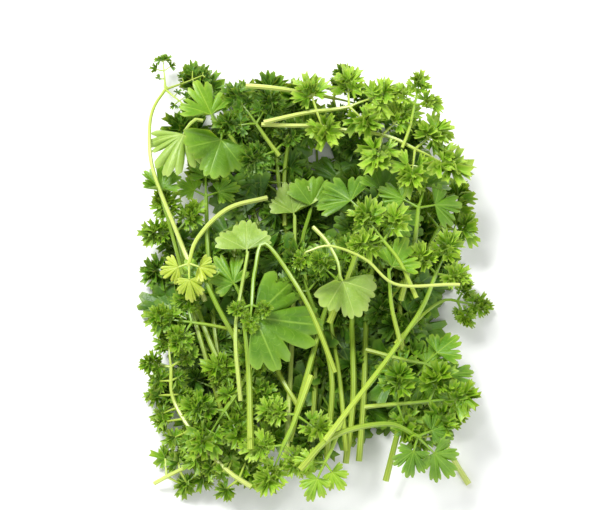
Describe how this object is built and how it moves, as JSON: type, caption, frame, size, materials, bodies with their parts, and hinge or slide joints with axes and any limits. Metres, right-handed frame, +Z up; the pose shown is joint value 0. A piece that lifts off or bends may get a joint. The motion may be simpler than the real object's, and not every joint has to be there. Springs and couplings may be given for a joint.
{
  "type": "parsley bunch",
  "caption": "Loose bunch of cut parsley lying flat, with long pale stems, finely cut fronds and broad lobed leaves.",
  "frame": {"origin": "centre of the bunch's rectangular outline as seen from above, on the surface that it lies on", "axes": "+Z up, +Y along the bunch from most of its cut stem ends towards its far fronds, +X to the right"},
  "size_m": [0.1408, 0.1824, 0.044],
  "materials": {
    "leaf_deep": "dark green leaf and stem of the sprigs that lie in shade, satin",
    "leaf_mid": "mid green broad leaf and its stem, satin",
    "leaf_fresh": "fresh green leaf and yellow-green stem, satin",
    "leaf_bright": "bright young green frond and its stem, satin",
    "leaf_pale": "pale green broad leaf, seen from its duller side, matt",
    "leaf_yellow": "leaf and stem that have turned yellow-green, satin"
  },
  "bodies": {
    "root": {"sprig_arc_right": "leaf_mid", "sprig_back_left_frond": "leaf_deep", "sprig_broad_back": "leaf_mid", "sprig_broad_right": "leaf_mid", "sprig_corner_left": "leaf_fresh", "sprig_corner_right": "leaf_fresh", "sprig_cut_long": "leaf_yellow", "sprig_flat_leaf": "leaf_mid", "sprig_fold_over": "leaf_fresh", "sprig_frond_mid": "leaf_bright", "sprig_frond_right": "leaf_bright", "sprig_frond_tip": "leaf_bright", "sprig_frond_top": "leaf_bright", "sprig_ground_left": "leaf_deep", "sprig_ground_middle": "leaf_deep", "sprig_ground_right": "leaf_deep", "sprig_ground_top": "leaf_deep", "sprig_left_arc": "leaf_deep", "sprig_left_leaf": "leaf_pale", "sprig_left_leaf_three": "leaf_fresh", "sprig_left_leaf_two": "leaf_mid", "sprig_left_mid": "leaf_fresh", "sprig_loop": "leaf_fresh", "sprig_low_cut": "leaf_fresh", "sprig_low_front": "leaf_bright", "sprig_low_left_arc": "leaf_fresh", "sprig_low_left_frond": "leaf_fresh", "sprig_low_mid_frond": "leaf_bright", "sprig_low_right_frond": "leaf_fresh", "sprig_main_branch": "leaf_bright", "sprig_pale_leaf": "leaf_pale", "sprig_right_edge": "leaf_fresh", "sprig_right_leaf": "leaf_fresh", "sprig_right_low": "leaf_fresh", "sprig_rod_top": "leaf_deep", "sprig_round_leaf": "leaf_pale", "sprig_stem_arc_two": "leaf_mid", "sprig_stem_centre": "leaf_deep", "sprig_stem_cross": "leaf_fresh", "sprig_stem_diagonal": "leaf_fresh", "sprig_stem_end": "leaf_mid", "sprig_stem_far_left": "leaf_fresh", "sprig_stem_left": "leaf_fresh", "sprig_stem_middle": "leaf_mid", "sprig_stem_middle_left": "leaf_pale", "sprig_stem_middle_right": "leaf_mid", "sprig_stem_right": "leaf_deep", "sprig_stem_slant": "leaf_fresh", "sprig_top_middle": "leaf_mid", "sprig_under_back": "leaf_deep", "sprig_under_back_right": "leaf_deep", "sprig_under_corner": "leaf_deep", "sprig_under_front": "leaf_deep", "sprig_under_left_edge": "leaf_deep", "sprig_under_low_left": "leaf_deep", "sprig_under_right": "leaf_deep", "sprig_under_top_left": "leaf_deep", "sprig_under_top_right": "leaf_deep", "sprig_wedge_leaf": "leaf_fresh"}
  },
  "joints": []
}
